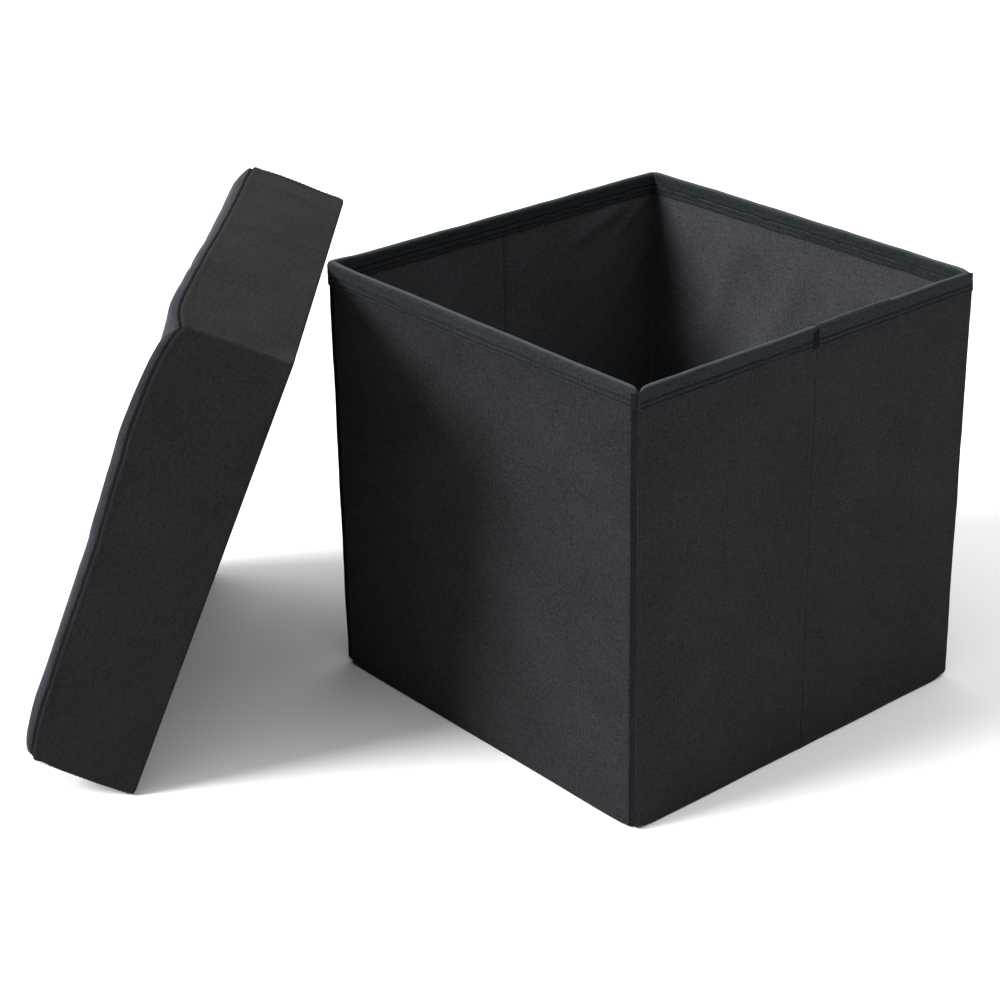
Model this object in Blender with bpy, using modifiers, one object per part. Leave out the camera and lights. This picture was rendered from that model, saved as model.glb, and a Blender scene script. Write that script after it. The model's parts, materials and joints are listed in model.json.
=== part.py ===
"""Folding cube ottoman with storage: a boarded fabric box whose front and back walls fold in at a
centre crease, a loose base board, and a padded lift-off lid that leans on the box's left corner.

Metres, +Z up. The origin is the middle of the box on the floor. The creased walls face -Y and +Y,
the stiff walls face -X and +X. The left wall (-X) stays put; everything else hangs from it.
"""

import math

import bmesh
import bpy
from mathutils import Matrix, Vector

# ---- driving dimensions -------------------------------------------------------------------------
BOX_SIDE = 0.380            # outside of the wall covers, both ways
BOX_HEIGHT = 0.380          # floor to the top of the rim binding
FABRIC_GAP = 0.0003         # air left between neighbouring pieces
COVER = 0.0008              # outer woven fabric
BOARD = 0.0030              # fibreboard stiffener
LINING = 0.0006             # inner non-woven fabric
BINDING = 0.0007            # rim tape
BINDING_DROP = 0.017        # how far the tape reaches down the wall
RIM_SPACE = 0.0010          # rim top to the walls' top edge
CREASE_GAP = 0.0004         # half the gap between the two halves of a creased wall
CREASE_BOARD_GAP = 0.0012   # half the gap between their boards
PIVOT_CLEAR = 0.0002        # a fold axis lies this far outside the tape it turns on

FLOOR_CLOTH = 0.0005        # sewn fabric floor
HEM_HEIGHT = 0.0043         # the fabric floor's upturned edge
BASE_BOARD = 0.0020
BASE_COVER = 0.0005
BASE_HALF = 0.1830
BASE_START = 0.0008         # underside of the base board
PULL_TAB = (0.024, 0.070, 0.0004)
PULL_TAB_X = 0.120

LID_SIDE = 0.410
LID_DEPTH = 0.088           # rim to top seam
LID_CAVITY = 0.0585         # rim to the underside of the lid's lining
LID_SKIRT_LIP = 0.0015      # skirt boards stop this far short of the rim
LID_CROWN = 0.014           # the padded top's rise at its middle
CROWN_POWER = 6             # how square the crown is: higher keeps it full nearer the edges
LID_FOOT = (-0.4595, 0.1241)    # the rim corner that stands on the floor
LID_YAW = math.radians(-42.32)  # the way the lid leans, seen from above
LID_REST_GAP = 0.0004       # rim to the box corner it leans on
PIPING = 0.0015             # radius of the lid's seam cord
PIPING_CORNER = 0.008
CROWN_STEPS = 16

# ---- worked out from them -----------------------------------------------------------------------
HALF = BOX_SIDE / 2
WALL_LOW = HEM_HEIGHT + FABRIC_GAP
WALL_HIGH = BOX_HEIGHT - RIM_SPACE
COVER_LAYER = (0.0, COVER)
BOARD_LAYER = (COVER + FABRIC_GAP, COVER + FABRIC_GAP + BOARD)
LINING_LAYER = (BOARD_LAYER[1] + FABRIC_GAP, BOARD_LAYER[1] + FABRIC_GAP + LINING)
WALL = LINING_LAYER[1]
TAPE_PROUD = FABRIC_GAP + BINDING
CORNER_PIVOT = HALF - WALL - TAPE_PROUD - PIVOT_CLEAR
CREASE_PIVOT = HALF + TAPE_PROUD + PIVOT_CLEAR


def clear_scene():
    for obj in list(bpy.data.objects):
        bpy.data.objects.remove(obj, do_unlink=True)


def new_collection(name):
    made = bpy.data.collections.new(name)
    bpy.context.scene.collection.children.link(made)
    return made


def new_material(name, colour, roughness):
    made = bpy.data.materials.new(name)
    made.use_nodes = True
    shader = made.node_tree.nodes["Principled BSDF"]
    shader.inputs["Base Color"].default_value = (*colour, 1.0)
    shader.inputs["Roughness"].default_value = roughness
    shader.inputs["Metallic"].default_value = 0.0
    return made


clear_scene()
parts = new_collection("storage_ottoman")
cutters = new_collection("cutters")

cover_fabric = new_material("cover_fabric", (0.014, 0.014, 0.017), 0.95)
lining_fabric = new_material("lining_fabric", (0.020, 0.019, 0.020), 0.95)
binding_tape = new_material("binding_tape", (0.012, 0.015, 0.015), 0.85)
fibreboard = new_material("fibreboard", (0.30, 0.19, 0.10), 0.80)
foam = new_material("foam", (0.62, 0.60, 0.52), 0.95)


def new_pivot(name, place, turn=None):
    """An empty on a joint's axis; the pieces that move together hang from it."""
    pivot = bpy.data.objects.new(name, None)
    pivot.matrix_world = Matrix.Translation(place) @ (turn or Matrix.Identity(4))
    parts.objects.link(pivot)
    return pivot


def add_mesh(name, mesh, place, material, pivot):
    obj = bpy.data.objects.new(name, mesh)
    obj.data.materials.append(material)
    obj.parent = pivot
    obj.location = place
    parts.objects.link(obj)
    return obj


def box_mesh(name, size):
    bm = bmesh.new()
    bmesh.ops.create_cube(bm, size=1.0)
    bmesh.ops.scale(bm, vec=size, verts=bm.verts)
    mesh = bpy.data.meshes.new(name)
    bm.to_mesh(mesh)
    bm.free()
    return mesh


def add_box(name, low, high, material, pivot):
    """A rectangular solid between two corners given in the pivot's own frame."""
    low, high = Vector(low), Vector(high)
    return add_mesh(name, box_mesh(name, high - low), (low + high) / 2, material, pivot)


def add_cutter(target, low, high):
    """Cuts a rectangular space out of a piece; the corners are in the piece's pivot frame."""
    low, high = Vector(low), Vector(high)
    cutter = bpy.data.objects.new(target.name + "_cutter", box_mesh("cutter", high - low))
    cutter.parent = target.parent
    cutter.location = (low + high) / 2
    cutter.hide_render = True
    cutter.display_type = "WIRE"
    cutters.objects.link(cutter)
    cut = target.modifiers.new("hollow", "BOOLEAN")
    cut.operation = "DIFFERENCE"
    cut.solver = "EXACT"
    cut.object = cutter


# ---- walls --------------------------------------------------------------------------------------
def wall_corners(facing, run, depth, height):
    """Corners of a block in a wall, in the box's frame.

    facing is the wall's outward axis, such as "-Y"; run is its span along the wall; depth is
    measured inwards from the outer face of the cover; height is above the floor.
    """
    side = -1 if facing[0] == "-" else 1
    across = sorted(side * (HALF - d) for d in depth)
    x, y = (across, run) if facing[1] == "X" else (run, across)
    return (x[0], y[0], height[0]), (x[1], y[1], height[1])


def add_wall_block(name, facing, run, depth, height, material, pivot):
    low, high = (Vector(c) - pivot.location for c in wall_corners(facing, run, depth, height))
    return add_box(name, low, high, material, pivot)


def add_binding(name, facing, run, closed_ends, pivot):
    """The folded rim tape: a channel that sits over the wall's top edge."""
    depth = (-TAPE_PROUD, WALL + TAPE_PROUD)
    tape = add_wall_block(
        name, facing, run, depth, (BOX_HEIGHT - BINDING_DROP, BOX_HEIGHT), binding_tape, pivot)
    end = -BINDING if closed_ends else BINDING
    inside = wall_corners(
        facing,
        (run[0] - end, run[1] + end),
        (depth[0] + BINDING, depth[1] - BINDING),
        (BOX_HEIGHT - 2 * BINDING_DROP, BOX_HEIGHT - BINDING))
    add_cutter(tape, *(Vector(c) - pivot.location for c in inside))


def add_stiff_wall(name, facing, pivot):
    """A one-piece wall with the two corner seams that close its ends."""
    height = (WALL_LOW, WALL_HIGH)
    inner = HALF - COVER - FABRIC_GAP
    add_wall_block(name + "_cover", facing, (-HALF, HALF), COVER_LAYER, height, cover_fabric, pivot)
    add_wall_block(name + "_board", facing, (-inner, inner), BOARD_LAYER, height, fibreboard, pivot)
    add_wall_block(name + "_lining", facing, (-inner, inner), LINING_LAYER, height, lining_fabric, pivot)
    rim = HALF + TAPE_PROUD
    add_binding(name + "_binding", facing, (-rim, rim), True, pivot)
    seam = (BOARD_LAYER[0], WALL)
    for end, run in (("front", (-HALF, COVER - HALF)), ("back", (HALF - COVER, HALF))):
        seam_name = f"{end}_{name.split('_')[0]}_corner_seam"
        add_wall_block(seam_name, facing, run, seam, height, cover_fabric, pivot)


def add_half_wall(name, facing, side, pivot):
    """Half of a creased wall, from a corner fold to the centre crease."""
    height = (WALL_LOW, WALL_HIGH)

    def run(crease_gap):
        return tuple(sorted((side * CORNER_PIVOT, side * crease_gap)))

    add_wall_block(name + "_cover", facing, run(CREASE_GAP), COVER_LAYER, height, cover_fabric, pivot)
    add_wall_block(
        name + "_board", facing, run(CREASE_BOARD_GAP), BOARD_LAYER, height, fibreboard, pivot)
    add_wall_block(name + "_lining", facing, run(CREASE_GAP), LINING_LAYER, height, lining_fabric, pivot)
    add_binding(name + "_binding", facing, run(CREASE_GAP), False, pivot)


left_wall = new_pivot("left_wall_fixed", (0, 0, 0))
add_stiff_wall("left_wall", "-X", left_wall)

front_left_fold = new_pivot("front_left_fold", (-CORNER_PIVOT, -CORNER_PIVOT, 0))
add_half_wall("front_left", "-Y", -1, front_left_fold)
front_crease = new_pivot("front_crease", (0, -CREASE_PIVOT, 0))
add_half_wall("front_right", "-Y", 1, front_crease)

back_left_fold = new_pivot("back_left_fold", (-CORNER_PIVOT, CORNER_PIVOT, 0))
add_half_wall("back_left", "+Y", -1, back_left_fold)
back_crease = new_pivot("back_crease", (0, CREASE_PIVOT, 0))
add_half_wall("back_right", "+Y", 1, back_crease)

front_right_fold = new_pivot("front_right_fold", (CORNER_PIVOT, -CORNER_PIVOT, 0))
add_stiff_wall("right_wall", "+X", front_right_fold)

# ---- sewn fabric floor: a shallow tray below the walls ------------------------------------------
fabric_floor = add_box(
    "fabric_floor", (-HALF, -HALF, 0), (HALF, HALF, HEM_HEIGHT), cover_fabric, left_wall)
hem_inside = HALF - COVER
add_cutter(
    fabric_floor,
    (-hem_inside, -hem_inside, FLOOR_CLOTH), (hem_inside, hem_inside, 2 * HEM_HEIGHT))

# ---- loose base board ---------------------------------------------------------------------------
base_lift = new_pivot("base_lift", (0, 0, 0))
board_top = BASE_START + BASE_BOARD
cover_low = board_top + FABRIC_GAP
tab_low = cover_low + BASE_COVER + FABRIC_GAP
add_box(
    "base_board", (-BASE_HALF, -BASE_HALF, BASE_START), (BASE_HALF, BASE_HALF, board_top),
    fibreboard, base_lift)
add_box(
    "base_cover", (-BASE_HALF, -BASE_HALF, cover_low), (BASE_HALF, BASE_HALF, cover_low + BASE_COVER),
    lining_fabric, base_lift)
tab_wide, tab_long, tab_thick = PULL_TAB
add_box(
    "base_pull_tab",
    (PULL_TAB_X - tab_long / 2, -tab_wide / 2, tab_low),
    (PULL_TAB_X + tab_long / 2, tab_wide / 2, tab_low + tab_thick),
    binding_tape, base_lift)


# ---- lid ----------------------------------------------------------------------------------------
def lid_turn():
    """The lid's own frame: X up the lean, Y along its floor edge, Z out of the padded top."""
    lean_way = Vector((math.cos(LID_YAW), math.sin(LID_YAW), 0))
    corner = Vector((-HALF - TAPE_PROUD, HALF + TAPE_PROUD, BOX_HEIGHT))
    reach = (corner - Vector((*LID_FOOT, 0))).dot(lean_way)
    slope = math.hypot(reach, BOX_HEIGHT)
    lean = math.atan2(reach, BOX_HEIGHT) - math.asin(LID_REST_GAP / slope)
    up = Vector((0, 0, 1))
    rise = up * math.cos(lean) + lean_way * math.sin(lean)
    out = up * math.sin(lean) - lean_way * math.cos(lean)
    along = out.cross(rise)
    return Matrix((rise, along, out)).transposed().to_4x4()


lid_tip = new_pivot("lid_tip", (*LID_FOOT, 0), lid_turn())
SKIRT_HIGH = LID_DEPTH - 2 * PIPING
SKIRT_SIDES = ("left", "right", "front", "back")


def add_skirt_layer(name, side, depth, ends, height, material):
    """One layer of one side of the skirt, measured inwards from the lid's outer face."""
    near, far = depth
    if side in ("right", "back"):
        near, far = LID_SIDE - far, LID_SIDE - near
    run = (ends, LID_SIDE - ends)
    x, y = ((near, far), run) if side in ("left", "right") else (run, (near, far))
    add_box(name, (x[0], y[0], height[0]), (x[1], y[1], height[1]), material, lid_tip)


for side in SKIRT_SIDES:
    capped = side in ("left", "right")      # these two run to the corners, the others fit between

    def end_of(depth):
        return depth[0] if capped else depth[1] + FABRIC_GAP

    add_skirt_layer(
        f"lid_{side}_skirt_cover", side, COVER_LAYER, end_of(COVER_LAYER), (0, SKIRT_HIGH), cover_fabric)
    add_skirt_layer(
        f"lid_{side}_skirt_board", side, BOARD_LAYER, end_of(BOARD_LAYER),
        (LID_SKIRT_LIP, LID_CAVITY + 0.0005), fibreboard)
    add_skirt_layer(
        f"lid_{side}_skirt_lining", side, LINING_LAYER, end_of(LINING_LAYER),
        (0, LID_CAVITY), lining_fabric)


def add_lid_sheet(name, inset, low, thick, material):
    add_box(
        name, (inset, inset, low), (LID_SIDE - inset, LID_SIDE - inset, low + thick), material, lid_tip)
    return low + thick + FABRIC_GAP


level = LID_CAVITY + FABRIC_GAP
level = add_lid_sheet("lid_lining", LINING_LAYER[0], level, LINING, lining_fabric)
level = add_lid_sheet("lid_board", BOARD_LAYER[0], level, BOARD, fibreboard)
PAD_LOW = level
PIPING_INSET = PIPING + FABRIC_GAP
# the pad's square corner just clears the inside of the piping's round corner
PAD_INSET = (
    PIPING_INSET + PIPING_CORNER + FABRIC_GAP - (PIPING_CORNER - PIPING) * math.cos(math.radians(45)))
COVER_TOP = LID_DEPTH
PAD_TOP = COVER_TOP - COVER - FABRIC_GAP


def crowned_grid(height):
    """A square grid over the pad whose middle rises by the crown."""
    half = LID_SIDE / 2 - PAD_INSET
    bm = bmesh.new()
    bmesh.ops.create_grid(bm, x_segments=CROWN_STEPS, y_segments=CROWN_STEPS, size=half)
    for vert in bm.verts:
        rise_x = 1 - abs(vert.co.x / half) ** CROWN_POWER
        rise_y = 1 - abs(vert.co.y / half) ** CROWN_POWER
        vert.co.z = height + LID_CROWN * rise_x * rise_y
    return bm


def finish_crowned(name, bm, material):
    mesh = bpy.data.meshes.new(name)
    bmesh.ops.recalc_face_normals(bm, faces=bm.faces)
    bm.to_mesh(mesh)
    bm.free()
    return add_mesh(name, mesh, (LID_SIDE / 2, LID_SIDE / 2, 0), material, lid_tip)


def add_pad():
    bm = crowned_grid(PAD_TOP)
    sides = bmesh.ops.extrude_face_region(bm, geom=list(bm.faces))
    for piece in sides["geom"]:
        if isinstance(piece, bmesh.types.BMVert):
            piece.co.z = PAD_LOW
    finish_crowned("lid_foam_pad", bm, foam)


def add_top_cover():
    top = finish_crowned("lid_top_cover", crowned_grid(COVER_TOP), cover_fabric)
    thicken = top.modifiers.new("cloth", "SOLIDIFY")
    thicken.thickness = COVER
    thicken.offset = -1.0


def add_piping():
    """The seam cord around the padded top: a square with rounded corners."""
    low = PIPING_INSET
    high = LID_SIDE - low
    centres = (
        (high - PIPING_CORNER, high - PIPING_CORNER, 0),
        (low + PIPING_CORNER, high - PIPING_CORNER, 90),
        (low + PIPING_CORNER, low + PIPING_CORNER, 180),
        (high - PIPING_CORNER, low + PIPING_CORNER, 270))
    points = []
    for x, y, start in centres:
        for step in range(5):
            angle = math.radians(start + step * 22.5)
            points.append((x + PIPING_CORNER * math.cos(angle), y + PIPING_CORNER * math.sin(angle)))
    curve = bpy.data.curves.new("lid_piping", "CURVE")
    curve.dimensions = "3D"
    curve.bevel_depth = PIPING
    curve.bevel_resolution = 2
    spline = curve.splines.new("POLY")
    spline.points.add(len(points) - 1)
    for point, (x, y) in zip(spline.points, points):
        point.co = (x, y, 0, 1)
    spline.use_cyclic_u = True
    add_mesh(
        "lid_piping", curve, (0, 0, SKIRT_HIGH + PIPING + FABRIC_GAP), binding_tape, lid_tip)


add_pad()
add_top_cover()
add_piping()
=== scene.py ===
import json
import math

import bpy
import numpy as np
from mathutils import Matrix, Vector


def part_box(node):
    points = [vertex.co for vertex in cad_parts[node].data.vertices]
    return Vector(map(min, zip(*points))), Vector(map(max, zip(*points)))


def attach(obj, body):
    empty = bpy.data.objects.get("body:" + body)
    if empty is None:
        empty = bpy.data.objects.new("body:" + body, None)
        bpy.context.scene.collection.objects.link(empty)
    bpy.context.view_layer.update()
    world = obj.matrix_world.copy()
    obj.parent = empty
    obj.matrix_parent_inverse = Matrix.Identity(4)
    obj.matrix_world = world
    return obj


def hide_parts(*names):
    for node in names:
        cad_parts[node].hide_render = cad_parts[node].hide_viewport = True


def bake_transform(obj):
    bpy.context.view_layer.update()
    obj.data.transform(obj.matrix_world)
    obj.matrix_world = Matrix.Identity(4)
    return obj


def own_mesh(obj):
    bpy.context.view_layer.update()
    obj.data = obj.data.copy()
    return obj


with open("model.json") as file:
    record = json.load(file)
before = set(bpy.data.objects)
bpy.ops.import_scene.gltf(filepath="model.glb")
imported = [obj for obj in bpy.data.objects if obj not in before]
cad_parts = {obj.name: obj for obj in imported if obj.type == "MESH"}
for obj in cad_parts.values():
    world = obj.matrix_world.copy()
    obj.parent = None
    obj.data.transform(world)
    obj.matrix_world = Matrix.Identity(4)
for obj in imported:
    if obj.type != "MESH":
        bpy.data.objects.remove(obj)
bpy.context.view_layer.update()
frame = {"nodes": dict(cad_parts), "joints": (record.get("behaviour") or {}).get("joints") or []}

# ---- Viewpoint ----------------------------------------------------------------------------------
# A short telephoto lens looks down on the box's near corner, with the lid leaning at the left.
# Lengths are in metres, angles in degrees.
VIEW_AZIMUTH = -39.894
VIEW_ELEVATION = 24.943
VIEW_ROLL = -1.148
VIEW_DISTANCE = 2.0238
VIEW_ASIDE = -0.12615
VIEW_HEIGHT = 0.16685
LENS_MM = 83.78


def add_camera():
    azimuth, elevation = math.radians(VIEW_AZIMUTH), math.radians(VIEW_ELEVATION)
    level = math.cos(elevation)
    back = Vector((math.sin(azimuth) * level, -math.cos(azimuth) * level, math.sin(elevation)))
    right = (-back).cross(Vector((0, 0, 1))).normalized()
    up = right.cross(-back)
    cos_roll, sin_roll = math.cos(math.radians(VIEW_ROLL)), math.sin(math.radians(VIEW_ROLL))
    right, up = cos_roll * right + sin_roll * up, cos_roll * up - sin_roll * right
    turn = Matrix((right, up, back)).transposed().to_4x4()
    target = Vector((0, 0, VIEW_HEIGHT)) + VIEW_ASIDE * right
    data = bpy.data.cameras.new("camera")
    data.lens = LENS_MM
    data.sensor_width = 36.0
    data.dof.use_dof = False
    camera = bpy.data.objects.new("camera", data)
    camera.matrix_world = Matrix.Translation(target + VIEW_DISTANCE * back) @ turn
    bpy.context.scene.collection.objects.link(camera)
    bpy.context.scene.camera = camera


add_camera()
bpy.context.scene.view_settings.view_transform = "Standard"

# ---- Studio floor and light ---------------------------------------------------------------------
# A seamless white table under a wide white ceiling, with one broad soft key low on the left.
# Angles are how wide each light looks from the table, in degrees.
FLOOR_WHITE = "#ECECEC"
CEILING_FROM = (-0.10, 0.15, 1.0)
CEILING_WIDE = 75.0
CEILING_POWER = 1.8
KEY_FROM = (-0.75, 0.32, 0.56)
KEY_WIDE = 24.0
KEY_POWER = 5.6
FILL_FROM = (0.42, -0.62, 0.80)
FILL_WIDE = 60.0
FILL_POWER = 1.0
ROOM_LIGHT = 0.34


def srgb(code):
    """A hex colour as linear red, green, blue and alpha."""
    levels = [int(code[i:i + 2], 16) / 255 for i in (1, 3, 5)]
    return (*[v / 12.92 if v <= 0.04045 else ((v + 0.055) / 1.055) ** 2.4 for v in levels], 1.0)


def add_node(tree, kind, settings=None, links=None, **properties):
    """A node with its socket values in settings and its incoming links as {socket: output socket}."""
    node = tree.nodes.new(kind)
    for name, value in properties.items():
        setattr(node, name, value)
    for socket, value in (settings or {}).items():
        node.inputs[socket].default_value = value
    for socket, source in (links or {}).items():
        tree.links.new(source, node.inputs[socket])
    return node


def new_material(name):
    """An empty node material, and its Principled shader."""
    material = bpy.data.materials.new(name)
    material.use_nodes = True
    return material, material.node_tree, material.node_tree.nodes["Principled BSDF"]


def add_floor():
    bpy.ops.mesh.primitive_plane_add(size=14.0)
    floor = bpy.context.object
    floor.name = "floor"
    material, _, shader = new_material("white_table")
    shader.inputs["Base Color"].default_value = srgb(FLOOR_WHITE)
    shader.inputs["Roughness"].default_value = 0.9
    shader.inputs["Specular IOR Level"].default_value = 0.1
    floor.data.materials.append(material)


def add_soft_light(name, toward, wide, power):
    data = bpy.data.lights.new(name, "SUN")
    data.angle = math.radians(wide)
    data.energy = power
    light = bpy.data.objects.new(name, data)
    light.rotation_euler = Vector(toward).to_track_quat("Z", "Y").to_euler()
    bpy.context.scene.collection.objects.link(light)


def light_room():
    world = bpy.data.worlds.new("white_room")
    world.use_nodes = True
    world.node_tree.nodes["Background"].inputs["Color"].default_value = (1, 1, 1, 1)
    world.node_tree.nodes["Background"].inputs["Strength"].default_value = ROOM_LIGHT
    bpy.context.scene.world = world


add_floor()
add_soft_light("ceiling", CEILING_FROM, CEILING_WIDE, CEILING_POWER)
add_soft_light("key", KEY_FROM, KEY_WIDE, KEY_POWER)
add_soft_light("fill", FILL_FROM, FILL_WIDE, FILL_POWER)
light_room()

# ---- Outer cover --------------------------------------------------------------------------------
# Woven black polyester, stretched over the boards and sewn at the four upright edges. It turns the
# folding edges in one piece, so each panel spans one fold and meets the next mid-wall.
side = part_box("left_wall_cover")[1].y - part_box("left_wall_cover")[0].y
half = side / 2
rim_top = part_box("left_wall_binding")[1].z
tape_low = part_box("left_wall_binding")[0].z
wall_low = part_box("left_wall_cover")[0].z
wall_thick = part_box("left_wall_lining")[1].x + half
tape_proud = -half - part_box("left_wall_binding")[0].x

EDGE_RADIUS = 0.0025        # upright edges
FOOT_RADIUS = 0.0015        # where the walls turn under
FOOT_CORNER = 0.0068        # the same at the four corners, where the boards are rounded off
SEAM_BAND = 0.0074          # the sewn channel beside each upright edge, on the stiff walls
SEAM_DEPTH = 0.0010
CORNERS = (0.0, 1.0, 2.0, 3.0, 4.0)
CREASES = (0.5, 2.5)

# Panels of the box's skins as (name, from, to, bodies, blend start, blend end). Places along the
# walls count from the near left corner: 0-1 front, 1-2 right, 2-3 back, 3-4 left.
turn = 0.0062
PANELS = (
    ("near_corner", 3.5, 4.25, ("left_wall", "front_left_half"),
     (-half, turn - half, 0), (turn - half, -half, 0)),
    ("front_crease", 0.25, 0.75, ("front_left_half", "front_right_half"),
     (-0.004, -half, 0), (0.004, -half, 0)),
    ("right_corner", 0.75, 1.5, ("front_right_half", "right_wall"),
     (half - turn, -half, 0), (half, turn - half, 0)),
    ("right_wall_rear", 1.5, 2.0, ("right_wall",), None, None),
    ("back_right", 2.0, 2.25, ("back_right_half",), None, None),
    ("back_crease", 2.25, 2.75, ("back_right_half", "back_left_half"),
     (0.004, half, 0), (-0.004, half, 0)),
    ("left_corner", 2.75, 3.5, ("back_left_half", "left_wall"),
     (turn - half, half, 0), (-half, half - turn, 0)),
)
NODE_PANELS = {
    "near_corner": ("left_wall", "front_left"), "front_crease": ("front_left", "front_right"),
    "right_corner": ("front_right", "right_wall"), "right_wall_rear": ("right_wall",),
    "back_right": ("back_right",), "back_crease": ("back_right", "back_left"),
    "left_corner": ("back_left", "left_wall")}


def rounded_square(place, half_side, radius):
    """Points and outward normals round a square with rounded corners, for places 0 to 4."""
    place = np.mod(place, 4.0)
    wall = np.minimum(np.floor(place), 3).astype(int)
    along = (place - wall) * 2 * half_side
    corner = np.array([(-1, -1), (1, -1), (1, 1), (-1, 1)], float)[wall] * np.expand_dims(half_side, -1)
    forward = np.array([(1, 0), (0, 1), (-1, 0), (0, -1)], float)[wall]
    outward = np.array([(0, -1), (1, 0), (0, 1), (-1, 0)], float)[wall]
    to_end = 2 * half_side - along
    turned = np.where(
        along < radius, -(1 - along / radius), np.where(to_end < radius, 1 - to_end / radius, 0.0))
    angle = turned * math.pi / 4
    normal = outward * np.cos(angle)[..., None] + forward * np.sin(angle)[..., None]
    clipped = np.clip(along, radius, 2 * half_side - radius)
    reach = np.expand_dims(radius * np.ones_like(along), -1)
    centre = corner + forward * clipped[..., None] - outward * reach
    return centre + normal * reach, normal


def soft_field(u, v, low, high, seed, waves=14):
    """Smooth random relief from -1 to 1, from waves between two lengths in metres."""
    rng = np.random.default_rng(seed)
    total = np.zeros(np.broadcast(u, v).shape)
    for _ in range(waves):
        length = rng.uniform(low, high)
        heading, phase = rng.uniform(0, 2 * math.pi, 2)
        total += np.sin(2 * math.pi * (u * math.cos(heading) + v * math.sin(heading)) / length + phase)
    return total / math.sqrt(waves) * 0.7


def bump_at(distance, width):
    return np.exp(-(distance / width) ** 2)


def ramp(x, low, high):
    t = np.clip((x - low) / (high - low), 0, 1)
    return t * t * (3 - 2 * t)


def from_nearest(place, marks):
    """Signed distance along the wall, in metres, to the nearest of the marked places."""
    gaps = np.stack([(np.mod(place - m + 2.0, 4.0) - 2.0) * side for m in marks])
    nearest = np.abs(gaps).argmin(0)
    return np.take_along_axis(gaps, nearest[None], 0)[0]


def into_seam(place):
    """Metres past the near edge of the closest sewn channel; negative on the open wall."""
    to_corner = from_nearest(place, CORNERS[:4])
    wall = np.minimum(np.floor(np.mod(place, 4.0)), 3)
    stiff = (wall == 1) | (wall == 3)
    inside = SEAM_BAND - np.abs(to_corner)
    return np.where(stiff & (np.abs(to_corner) > 0.0005), inside, -1.0)


def fold(u, v, start, end, width):
    """One soft crease in the cloth along a line, fading out at its ends."""
    run = np.array(end) - np.array(start)
    length = np.hypot(*run)
    t = ((u - start[0]) * run[0] + (v - start[1]) * run[1]) / length ** 2
    off = ((u - start[0]) * run[1] - (v - start[1]) * run[0]) / length
    return bump_at(off, width) * np.sin(math.pi * np.clip(t, 0, 1)) ** 0.8


def foot_turn(place, height):
    """How far the cover has drawn in where it turns under the box."""
    corner = bump_at(from_nearest(place, CORNERS[:4]), 0.011)
    radius = FOOT_RADIUS + (FOOT_CORNER - FOOT_RADIUS) * corner
    rise = np.clip(radius - height, 0, radius)
    return radius - np.sqrt(radius ** 2 - rise ** 2 + 1e-12)


def cover_relief(place, height):
    """How far the outer cover stands off its flat, outwards."""
    u = np.mod(place, 4.0) * side
    relief = 0.00035 * soft_field(u, height, 0.05, 0.16, 3)
    relief += 0.00008 * soft_field(u, height, 0.012, 0.03, 4)
    to_fold = np.abs(from_nearest(place, CORNERS[:4] + CREASES))
    relief += 0.0007 * ramp(to_fold, 0.0, 0.05) * np.sin(math.pi * np.clip(height / rim_top, 0, 1)) ** 0.6
    below_tape = np.clip(tape_low - height, 0, None)
    relief += 0.00035 * np.exp(-below_tape / 0.012) * soft_field(u, height * 0.2, 0.007, 0.02, 5)
    crease = from_nearest(place, CREASES)
    relief += 0.0002 * bump_at(crease, 0.006) - 0.0006 * bump_at(crease, 0.0009)
    channel = into_seam(place)
    relief += 0.0004 * bump_at(channel + 0.0022, 0.0025) * ramp(-channel, 0.0, 0.0006)
    relief = np.where(channel > 0, np.minimum(relief, 0.0002), relief)
    relief -= (SEAM_DEPTH + 0.0006) * ramp(channel, -0.0004, 0.0009)
    near = (np.mod(place + 2.0, 4.0) - 2.0) * side
    relief += 0.0011 * fold(near, height, (-0.012, 0.360), (-0.055, 0.318), 0.0045)
    relief -= 0.0010 * fold(near, height, (-0.010, 0.338), (-0.034, 0.322), 0.0050)
    relief += 0.0007 * fold(near, height, (-0.012, 0.330), (-0.040, 0.285), 0.0060)
    return relief - foot_turn(place, height)


def spread_places(first, last, step, marks, fine, reach):
    """Places from first to last, close together near the marks."""
    marks = [m + k for m in marks for k in (0.0, 4.0)]
    places = [first]
    while places[-1] < last - 1e-9:
        near = min((abs(places[-1] + fine / side - m) for m in marks), default=9.0) * side
        places.append(places[-1] + (fine if near < reach else step) / side)
    places[-1] = last
    return np.array(places)


def new_piece(name, points, faces, material, uv=None):
    """A smooth-shaded object, with a UV map in metres where its cloth has one."""
    mesh = bpy.data.meshes.new(name)
    mesh.from_pydata(points.tolist(), [], faces)
    if uv is not None:
        corners = np.concatenate([np.array(f) for f in faces])
        layer = mesh.uv_layers.new(name="cloth")
        layer.data.foreach_set("uv", uv[corners].astype(np.float32).ravel())
    mesh.shade_smooth()
    mesh.materials.append(material)
    piece = bpy.data.objects.new(name, mesh)
    bpy.context.scene.collection.objects.link(piece)
    return piece


def grid_piece(name, points, uv, material, flip=False):
    """A smooth-shaded sheet from a grid of points, rows by columns, with a UV map in metres."""
    rows, columns = points.shape[:2]
    index = np.arange(rows * columns).reshape(rows, columns)
    quads = np.stack([index[:-1, :-1], index[:-1, 1:], index[1:, 1:], index[1:, :-1]], -1).reshape(-1, 4)
    if flip:
        quads = quads[:, ::-1]
    return new_piece(name, points.reshape(-1, 3), quads.tolist(), material, uv.reshape(-1, 2))


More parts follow.
